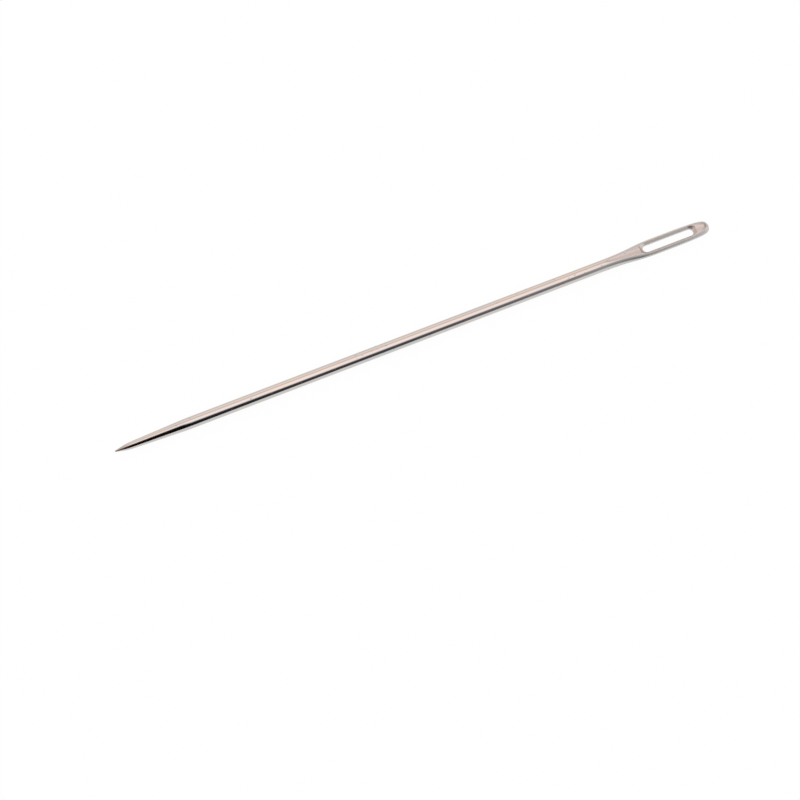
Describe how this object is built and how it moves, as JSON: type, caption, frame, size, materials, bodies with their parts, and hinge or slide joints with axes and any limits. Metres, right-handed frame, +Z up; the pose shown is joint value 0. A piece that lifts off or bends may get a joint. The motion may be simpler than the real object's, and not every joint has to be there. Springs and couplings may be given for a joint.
{
  "type": "leather needle",
  "caption": "Round nickel plated steel needle with a finely tapered, round ended point and a flattened, guttered head pierced by a long flared eye.",
  "frame": {"origin": "middle of the footprint, on the plane the needle lies on", "axes": "+X along the needle from its point to the nose of its head, +Z up along the axis of the eye, +Y across the head"},
  "size_m": [0.054, 0.0016, 0.001],
  "materials": {
    "nickel_plated_steel": "polished nickel plate over hardened steel"
  },
  "bodies": {
    "root": {"needle": "nickel_plated_steel"}
  },
  "joints": []
}
